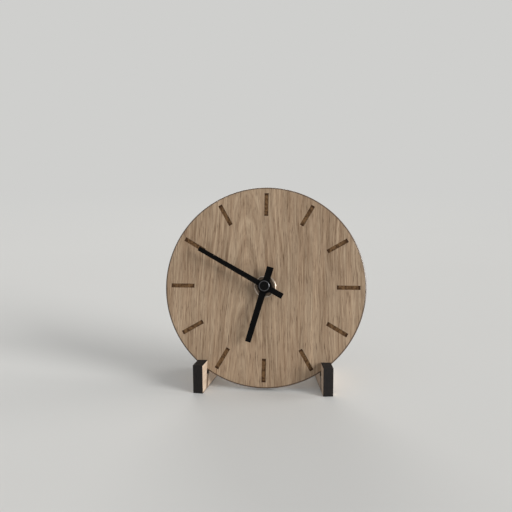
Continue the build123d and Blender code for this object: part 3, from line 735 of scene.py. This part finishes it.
def plus_outline(bm, width, place):
    """Edges of a plus sign."""
    points = bmesh.ops.create_grid(bm, x_segments=3, y_segments=3, size=width / 2, matrix=place)["verts"]
    middle = place.to_translation()
    # The corner cells of the grid lie further out than the arms of the plus
    corner = width * 0.3 * math.sqrt(2.0)
    faces = dict.fromkeys(face for point in points for face in point.link_faces)
    outer = [face for face in faces if (face.calc_center_median() - middle).length > corner]
    bmesh.ops.delete(bm, geom=outer, context="FACES")
    kept = [face for face in faces if face.is_valid]
    return opened(bm, bmesh.ops.dissolve_faces(bm, faces=kept, use_verts=False)["region"][0])


def filled(bm, edges, normal=FACING):
    """Faces that fill flat outlines."""
    made = bmesh.ops.triangle_fill(bm, use_beauty=True, use_dissolve=False, edges=edges, normal=normal)
    return [f for f in made["geom"] if isinstance(f, bmesh.types.BMFace)]


def stepped(bm, edges, move, scale=(1.0, 1.0, 1.0)):
    """Walls from some edges to a moved and scaled copy of them, and the edges of that copy."""
    made = bmesh.ops.extrude_edge_only(bm, edges=edges)["geom"]
    points = [v for v in made if isinstance(v, bmesh.types.BMVert)]
    bmesh.ops.scale(bm, vec=scale, verts=points)
    bmesh.ops.translate(bm, verts=points, vec=move)
    return [f for f in made if isinstance(f, bmesh.types.BMFace)], edge_loop(points)


def sunk(bm, outline, depth, normal=FACING):
    """Walls and floor of a shallow recess inside an outline."""
    walls, low = stepped(bm, outline, normal * -depth)
    return walls + filled(bm, low, normal)


def painted(faces, index):
    """Gives faces one of their piece's materials."""
    for face in faces:
        face.material_index = index


class CLOCK_OT_dial(bpy.types.Operator):
    """Build the oak board with its burnt hour bars"""

    bl_idname = "clock.dial"
    bl_label = "Oak Dial"

    def execute(self, context):
        at = context.scene.desk_clock.dial
        bm = bmesh.new()
        radius = DIAL_HIGH.x - RIM_CLEARANCE
        rim = ring_outline(bm, radius - at.ease, RIM_SIDES)
        hole = ring_outline(bm, at.hole_radius, HOLE_SIDES)
        places = [self.hour_place(at, radius, hour) for hour in range(at.hours)]
        bars = [bar_outline(bm, at.bar_width, at.bar_length, place) for place in places]
        filled(bm, bm.edges[:])
        for outline in bars:
            painted(sunk(bm, outline, at.bar_depth), BURNT)
        walls, hole_back = stepped(bm, hole, BEHIND * DIAL_THICK)
        painted(walls, CHARRED)
        now = (radius - at.ease, 0.0)
        for ring_radius, depth in self.rim_steps(at, radius):
            share = ring_radius / now[0]
            walls, rim = stepped(bm, rim, BEHIND * (depth - now[1]), (share, share, 1.0))
            painted(walls, ARRIS if depth <= at.ease else CHARRED)
            now = (ring_radius, depth)
        filled(bm, rim + hole_back, BEHIND)
        finishes = {
            VENEER: oak_finish(at),
            CHARRED: char_finish("charred_rim", at.rim, at.bar_end, roughness=0.62, specular=0.3),
            BURNT: bar_finish(at),
            ARRIS: char_finish("burnt_arris", at.arris, shaded(at.arris, 0.7), roughness=0.2, specular=1.0),
        }
        dial = placed(bm, BOARD @ STAND_UP)
        new_piece("oak_dial", dial, finishes.values(), "dial_board", angle=RIMMED)
        return {"FINISHED"}

    def hour_place(self, at, radius, hour):
        """Middle and turn of one hour bar on the face."""
        reach = radius - at.bar_rim_gap - at.bar_length / 2
        return Matrix.Rotation(-math.tau * hour / at.hours, 4, "Z") @ Matrix.Translation((0.0, reach, 0.0))

    def rim_steps(self, at, radius):
        """Radius and depth of each ring of the rim, from the eased front edge to the back."""
        front = rounded((radius - at.ease, at.ease), at.ease, -90.0, 0.0, steps=6)[1:]
        back_corner = (radius - at.back_ease, DIAL_THICK - at.back_ease)
        return front + rounded(back_corner, at.back_ease, 0.0, 90.0, steps=2)


class CLOCK_OT_feet(bpy.types.Operator):
    """Build the two slotted feet with charred edges"""

    bl_idname = "clock.feet"
    bl_label = "Feet"

    def execute(self, context):
        at = context.scene.desk_clock.feet
        for node in ("left_foot", "right_foot"):
            bm = eased_copy(node, at.ease)
            finish = foot_finish(f"{node}_board", at, node)
            new_piece(f"{node}_board", bm, [finish], node)
        return {"FINISHED"}


class CLOCK_OT_hands(bpy.types.Operator):
    """Build the hour hand, the minute hand and the cap nut"""

    bl_idname = "clock.hands"
    bl_label = "Hands"

    def execute(self, context):
        at = context.scene.desk_clock.hands
        paint = paint_finish(at)
        for node in ("hour_hand", "minute_hand"):
            bm = eased_copy(node, at.ease)
            new_piece(f"{node}_blade", bm, [paint], node, f"{node}_body")
        low, high = board_box("cap_nut")
        dome = turned(self.cap(at, high.x, low.y, high.y), ROUND_SIDES, BOARD)
        finish = cap_finish(at, high.x)
        new_piece("cap_nut_dome", dome, [finish], "cap_nut", "minute_hand_body")
        return {"FINISHED"}

    def cap(self, at, radius, front, back):
        """Profile of a cap with a rounded front edge and a bore from the back."""
        bore_share = 0.375
        bore, bore_end = radius * bore_share, front + at.cap_ease
        profile = [(0.0, front)]
        profile += rounded((radius - at.cap_ease, front + at.cap_ease), at.cap_ease, -90.0, 0.0, steps=6)
        profile += rounded((radius - at.ease, back - at.ease), at.ease, 0.0, 90.0, steps=2)
        return profile + [(bore, back), (bore, bore_end), (0.0, bore_end)]


class CLOCK_OT_fixing(bpy.types.Operator):
    """Build the washer, the nut, the threaded bushing and the gasket"""

    bl_idname = "clock.fixing"
    bl_label = "Centre Fixing"

    def execute(self, context):
        at = context.scene.desk_clock.fixing
        nickel = metal_finish("nickel_plate", at.nickel, at.dull_and_reflected_nickel, roughness=0.28, turned=0.00022)
        # The nut's dark tone is painted shade and dark reflection round the hub
        nut_shade_finish = metal_finish("painted_shade_nut", at.nut, shaded(at.nut, 0.6), roughness=0.3)
        nut = eased_copy("fixing_nut", at.ease)
        new_piece("painted_shade_nut", nut, [nut_shade_finish], "fixing_nut")
        washer = turned(self.washer(at), WASHER_SIDES, BOARD, closed=True)
        new_piece("nickel_washer", washer, [nickel], "washer")
        bushing = turned(self.bushing(at), ROUND_SIDES, BOARD, closed=True)
        new_piece("nickel_bushing", bushing, [nickel], "threaded_bushing")
        rubber = plastic_finish(
            "gasket_rubber", at.rubber, shaded(at.rubber, 1.6), roughness=0.8, grain=1800.0, depth=0.00006,
        )
        dress(rubber, "rubber_gasket")
        return {"FINISHED"}

    def washer(self, at):
        """Profile of a flat washer with a crowned front edge."""
        low, high = board_box("washer")
        outer, front, back = high.x, low.y, high.y
        lip_share = 0.12
        lip = (back - front) * lip_share
        crown = math.acos(1.0 - (back - front - 2 * lip) / at.washer_bevel)
        middle = (outer - lip - at.washer_bevel * math.sin(crown), front + at.washer_bevel)
        profile = rounded(middle, at.washer_bevel, -90.0, math.degrees(crown) - 90.0, steps=8)
        profile += rounded((outer - lip, back - lip), lip, -20.0, 90.0, steps=3)
        return profile + [(at.washer_bore, back), (at.washer_bore, front)]

    def bushing(self, at):
        """Profile of a threaded tube with a flange at its back end."""
        low, high = board_box("threaded_bushing")
        front, back, flange = low.y, high.y, high.x
        flange_front = back - at.flange
        root = at.bushing_radius - at.thread_depth
        crest_shares = (0.45, 0.55)
        profile = [(at.bushing_bore, front), (root, front)]
        for turn in range(int((flange_front - front) / at.thread_pitch)):
            start = front + turn * at.thread_pitch
            profile += [(at.bushing_radius, start + at.thread_pitch * share) for share in crest_shares]
            profile += [(root, start + at.thread_pitch)]
        profile += [(root, flange_front), (flange - at.ease, flange_front)]
        profile += [(flange, flange_front + at.ease), (flange, back - at.ease)]
        return profile + [(flange - at.ease, back), (at.bushing_bore, back)]


class CLOCK_OT_case(bpy.types.Operator):
    """Build the movement's case, its cover and its setting knob"""

    bl_idname = "clock.case"
    bl_label = "Movement Case"

    def execute(self, context):
        at = context.scene.desk_clock.movement
        black = plastic_finish("black_moulding", at.case, at.case_worn, roughness=0.5)
        for name, bm, body, node in (
            ("fluted_knob", eased_copy("setting_knob", at.ease / 2), "setting_body", "setting_knob"),
            ("moulded_case", self.case(at), "clock_body", "movement_case"),
            ("moulded_cover", self.cover(at), "clock_body", "back_cover"),
        ):
            new_piece(name, bm, [black], node, body, MOULDED)
        return {"FINISHED"}

    def case(self, at):
        """Case with two clip windows in each side wall."""
        bm = eased_copy("movement_case", at.ease)
        low, high = board_box("movement_case")
        clip_depth = board_box("back_cover")[0].y - at.clip_height
        clip_shares, outermost_share = (0.3, 0.8), 0.99
        bmesh.ops.transform(bm, matrix=TO_BOARD, verts=bm.verts)
        up = Vector((0.0, 0.0, 1.0))
        for side in (-1.0, 1.0):
            outward = Vector((side, 0.0, 0.0))
            walls = [f for f in bm.faces if f.normal.dot(outward) > SQUARE]
            walls = [f for f in walls if f.calc_center_median().x * side > high.x * outermost_share]
            edges = opened(bm, max(walls, key=lambda face: face.calc_area()))
            turn = Matrix((up.cross(outward), up, outward)).transposed().to_4x4()
            windows = []
            for share in clip_shares:
                spot = Matrix.Translation((side * high.x, clip_depth, low.z + (high.z - low.z) * share))
                windows.append(bar_outline(bm, at.clip_height, at.clip_width, spot @ turn))
            filled(bm, edges + [e for outline in windows for e in outline], outward)
            for outline in windows:
                sunk(bm, outline, at.clip_depth, outward)
        bmesh.ops.triangulate(bm, faces=bm.faces, quad_method="BEAUTY", ngon_method="BEAUTY")
        return placed(bm, BOARD)

    def cover(self, at):
        """Cover with a sunk panel, a dish for the knob, turn marks, and the battery's plus and minus."""
        bm = bmesh.new()
        low, high = board_box("back_cover")
        wide, tall, thick = high.x - low.x, high.z - low.z, high.y - low.y
        middle = Vector(((low.x + high.x) / 2, high.y, (low.z + high.z) / 2))
        place = BOARD @ Matrix.Translation(middle) @ Matrix.Rotation(math.pi, 4, "Z") @ STAND_UP
        knob = place.inverted() @ Vector(TURNS["setting_knob_turn"]["pos_m"])
        drop = BEHIND * at.panel_depth
        knob_place = Matrix.Translation((knob.x, knob.y, 0.0))
        edge = bar_outline(bm, wide - 2 * at.ease, tall - 2 * at.ease)
        panel = bar_outline(bm, wide - 2 * at.panel_margin, tall - 2 * at.panel_margin)
        filled(bm, edge + panel)
        panel_floor = stepped(bm, panel, drop)[1]
        on_panel = Matrix.Translation(drop)
        dish = ring_outline(bm, at.dish_radius, HOLE_SIDES, on_panel @ knob_place)
        half_panel = (wide / 2 - at.panel_margin, tall / 2 - at.panel_margin)
        marks = self.marks(bm, at, on_panel, knob_place, *half_panel)
        filled(bm, panel_floor + dish + [e for outline in marks for e in outline])
        for outline in marks:
            sunk(bm, outline, at.panel_depth)
        dish_floor = stepped(bm, dish, drop)[1]
        hole = ring_outline(bm, at.arbor_hole, ARBOR_SIDES, on_panel @ on_panel @ knob_place)
        filled(bm, dish_floor + hole)
        hole_front = stepped(bm, hole, BEHIND * (thick - 2 * at.panel_depth))[1]
        share = (wide / (wide - 2 * at.ease), tall / (tall - 2 * at.ease), 1.0)
        edge = stepped(bm, edge, BEHIND * at.ease, share)[1]
        edge = stepped(bm, edge, BEHIND * (thick - at.ease))[1]
        filled(bm, edge + hole_front, BEHIND)
        return placed(bm, place)

    def marks(self, bm, at, on_panel, knob_place, half_width, half_height):
        """Outlines of an arrow on each side of the dish, and of a plus and a minus in the lower corners."""
        arrow, arrow_gap = at.mark * 0.8, at.mark * 1.2
        sign, stroke, side_gap, low_gap = (at.mark * share for share in (1.8, 0.6, 1.6, 1.4))
        outlines = []
        for side in (-1.0, 1.0):
            spot = Matrix.Translation((side * (at.dish_radius + arrow_gap), 0.0, 0.0))
            turn = Matrix.Rotation(math.pi / 2 - side * math.pi / 2, 4, "Z")
            outlines.append(ring_outline(bm, arrow, ARROW_SIDES, on_panel @ knob_place @ spot @ turn))
        sign_x, sign_y = half_width - side_gap, low_gap - half_height
        outlines.append(plus_outline(bm, sign, on_panel @ Matrix.Translation((-sign_x, sign_y, 0.0))))
        outlines.append(bar_outline(bm, sign, stroke, on_panel @ Matrix.Translation((sign_x, sign_y, 0.0))))
        return outlines


class CLOCK_OT_battery(bpy.types.Operator):
    """Build the battery and dress its contacts"""

    bl_idname = "clock.battery"
    bl_label = "Battery"

    def execute(self, context):
        at = context.scene.desk_clock.movement
        steel = metal_finish("plated_steel", at.steel, shaded(at.steel, 0.72), roughness=0.28)
        middle, half, radius = lying("battery_cell")
        sleeve = sleeve_finish(at, middle, half)
        can = turned(self.can(radius, half), ROUND_SIDES, Matrix.Translation(middle) @ LAY_DOWN)
        new_piece("battery_can", can, [sleeve], "battery_cell", "battery_body")
        nub_middle, nub_half, nub_radius = lying("battery_cap")
        nub_base = Vector((nub_middle.x - nub_half, middle.y, middle.z))
        nub = turned(self.nub(nub_radius, 2 * nub_half), NUB_SIDES, Matrix.Translation(nub_base) @ LAY_DOWN)
        new_piece("battery_nub", nub, [steel], "battery_cap", "battery_body")
        dress(steel, "positive_contact", "negative_contact", "quartz_crystal")
        return {"FINISHED"}

    def can(self, radius, half):
        """Profile of a can with dished, rolled ends and a shallow bead near each."""
        ease, bead, inset = radius * 0.11, radius * 0.035, radius * 0.2
        dish, roll, dish_depth = radius * 0.72, radius * 0.76, ease * 0.3
        rear = [(0.0, dish_depth - half), (dish, dish_depth - half), (roll, -half)]
        rear += rounded((radius - ease, ease - half), ease, -90.0, 0.0, steps=4)
        rear += [(radius, inset - half), (radius - bead, inset * 1.3 - half), (radius, inset * 1.6 - half)]
        return rear + [(x, -y) for x, y in reversed(rear)]

    def nub(self, radius, length):
        """Profile of a round terminal with a rounded edge and a shallow dish."""
        ease = radius * 0.16
        dish, dish_floor = radius * 0.3, length - ease * 0.2
        profile = [(0.0, 0.0), (radius, 0.0)]
        profile += rounded((radius - ease, length - ease), ease, 0.0, 90.0, steps=4)
        return profile + [(dish, dish_floor), (0.0, dish_floor)]


class CLOCK_OT_train(bpy.types.Operator):
    """Dress the wheels and the plates that carry them"""

    bl_idname = "clock.train"
    bl_label = "Wheel Train"

    def execute(self, context):
        at = context.scene.desk_clock.movement
        white = plastic_finish(
            "white_moulding", at.wheel, shaded(at.wheel, 0.86), roughness=0.42, grain=3400.0, depth=0.00002,
        )
        dress(white, "hour_wheel", "centre_wheel", "third_wheel")
        dress(white, "seconds_wheel", "fifth_wheel", "reverser_wheel")
        grey = plastic_finish("grey_moulding", at.plate, shaded(at.plate, 0.8), roughness=0.5)
        dress(grey, "middle_plate", "rear_bridge", "coil_bobbin")
        dull = shaded(at.brass, 0.75)
        brass = metal_finish("turned_brass", at.brass, dull, roughness=0.24, turned=0.00018)
        dress(brass, "minute_post", "rotor_pinion")
        return {"FINISHED"}


class CLOCK_OT_motor(bpy.types.Operator):
    """Build the winding and dress the stator, the core, the magnet and the circuit"""

    bl_idname = "clock.motor"
    bl_label = "Motor and Circuit"

    def execute(self, context):
        at = context.scene.desk_clock.movement
        iron = metal_finish("stamped_iron", at.iron, shaded(at.iron, 0.7), roughness=0.42)
        dress(iron, "stator", "coil_core")
        magnet = metal_finish("ground_magnet", at.magnet, shaded(at.magnet, 0.7), roughness=0.5)
        dress(magnet, "rotor_magnet")
        dress(laminate_finish(at), "circuit_board")
        resin = plastic_finish(
            "resin_drop", at.resin, shaded(at.resin, 1.7), roughness=0.28, grain=900.0, depth=0.00004,
        )
        dress(resin, "chip")
        middle, half, radius = lying("coil_winding")
        lie = Matrix.Translation(middle) @ LAY_DOWN
        coil = turned(self.winding(at, radius, half), COIL_SIDES, lie, closed=True)
        new_piece("wound_coil", coil, [copper_finish(at)], "coil_winding", angle=RIDGED)
        return {"FINISHED"}

    def winding(self, at, radius, half):
        """Profile of a coil with one ridge for each turn of its outer layer."""
        inner = radius - at.winding
        ridge_share = 0.28
        valley = radius - at.wire * ridge_share
        turns = int(2 * half / at.wire)
        step = 2 * half / turns
        profile = [(inner, -half), (valley, -half)]
        for turn in range(turns):
            start = turn * step - half
            profile += [(radius, start + step / 2), (valley, start + step)]
        return profile + [(inner, half)]


class CLOCK_OT_stage(bpy.types.Operator):
    """Set the floor, the light and the camera"""

    bl_idname = "clock.stage"
    bl_label = "Stage"

    def execute(self, context):
        at = context.scene.desk_clock.stage
        self.floor(at)
        self.lights(at)
        self.world(at)
        self.camera(at)
        context.scene.view_settings.view_transform = "Standard"
        return {"FINISHED"}

    def floor(self, at):
        """Pale floor that runs into the background far off."""
        bm = bmesh.new()
        bmesh.ops.create_grid(bm, x_segments=FLOOR_CELLS, y_segments=FLOOR_CELLS, size=at.floor_size / 2)
        floor = Finish("pale_floor", roughness=0.9, specular=0.2)
        tones = (at.floor, shaded(at.floor, 0.985))
        patchy = floor.cloudy(3.0, (0.3, 0.7), *tones, detail=2.0, roughness=0.5)[1]
        sweep = floor.level(floor.length(floor.place), (at.sweep_start, at.sweep_end))
        sweep.node.interpolation_type = "SMOOTHSTEP"
        backdrop = floor.add("ShaderNodeEmission", {"Color": at.backdrop}).outputs["Emission"]
        share = floor.times(sweep, floor.seen())
        floor.show(share, floor.shader.outputs["BSDF"], backdrop, "Material Output")
        new_object("pale_floor", new_mesh("pale_floor", bm, [floor.done(patchy)]))

    def lights(self, at):
        """Two wide soft lights on the right, like one large window, and one behind."""
        for name, forward in LIGHTS:
            way = RIGHTWARD.copy()
            way.rotate(Euler((0.0, -math.radians(LIGHT_RISE), -math.radians(forward))))
            lamp = bpy.data.lights.new(f"{name}_light", "SUN")
            lamp.angle = at.light_width
            lamp.energy = getattr(at, name) * math.pi
            lamp.color = LIGHT_COLOUR
            light = new_object(f"{name}_light", lamp)
            light.location = DIAL_CENTRE + way
            light.rotation_euler = way.to_track_quat("Z", "Y").to_euler()

    def world(self, at):
        """Even light all round, and a plain pale background for what is seen or mirrored."""
        world = bpy.data.worlds.new("studio")
        world.use_nodes = True
        nodes = Nodes(world.node_tree)
        even = nodes.tree.nodes["Background"]
        nodes.put(WHITE, even.inputs["Color"])
        nodes.put(at.fill, even.inputs["Strength"])
        backdrop = nodes.add("ShaderNodeBackground", {"Color": at.backdrop}).outputs["Background"]
        nodes.show(nodes.seen(), even.outputs["Background"], backdrop, "World Output")
        bpy.context.scene.world = world

    def camera(self, at):
        """Camera in front of the dial and a little above it."""
        lens = bpy.data.cameras.new("front_camera")
        lens.lens = at.lens
        lens.clip_start = NEAREST_SEEN
        camera = new_object("front_camera", lens)
        pitch, roll, yaw = at.camera_turn
        turn = Matrix.Rotation(yaw, 4, "Z") @ Matrix.Rotation(pitch, 4, "X") @ Matrix.Rotation(roll, 4, "Y")
        camera.matrix_world = Matrix.Translation(DIAL_CENTRE + Vector(at.camera_place)) @ turn @ STAND_UP
        bpy.context.scene.camera = camera


class CLOCK_PT_sidebar(bpy.types.Panel):
    """Pieces and settings of the desk clock"""

    bl_idname = "CLOCK_PT_sidebar"
    bl_label = "Desk Clock"
    bl_space_type = "VIEW_3D"
    bl_region_type = "UI"
    bl_category = "Desk Clock"

    def draw(self, context):
        for name, operators in STEPS:
            for operator in operators:
                self.layout.operator(operator)
            box = self.layout.box()
            group = getattr(context.scene.desk_clock, name)
            for key in group.bl_rna.properties.keys():
                if key not in ("rna_type", "name"):
                    box.prop(group, key)


# Each group of settings, and the operators that use it
STEPS = (
    ("dial", ("clock.dial",)),
    ("feet", ("clock.feet",)),
    ("hands", ("clock.hands",)),
    ("fixing", ("clock.fixing",)),
    ("movement", ("clock.case", "clock.battery", "clock.train", "clock.motor")),
    ("stage", ("clock.stage",)),
)
CLASSES = (
    DialSettings, FootSettings, HandSettings, FixingSettings, MovementSettings, StageSettings,
    ClockSettings, CLOCK_OT_dial, CLOCK_OT_feet, CLOCK_OT_hands, CLOCK_OT_fixing, CLOCK_OT_case,
    CLOCK_OT_battery, CLOCK_OT_train, CLOCK_OT_motor, CLOCK_OT_stage, CLOCK_PT_sidebar,
)


def register():
    for entry in CLASSES:
        bpy.utils.register_class(entry)
    bpy.types.Scene.desk_clock = PointerProperty(type=ClockSettings)


def unregister():
    del bpy.types.Scene.desk_clock
    for entry in reversed(CLASSES):
        bpy.utils.unregister_class(entry)


def main():
    register()
    bpy.ops.clock.dial()
    bpy.ops.clock.feet()
    bpy.ops.clock.hands()
    bpy.ops.clock.fixing()
    bpy.ops.clock.case()
    bpy.ops.clock.battery()
    bpy.ops.clock.train()
    bpy.ops.clock.motor()
    bpy.ops.clock.stage()


if __name__ == "__main__":
    main()
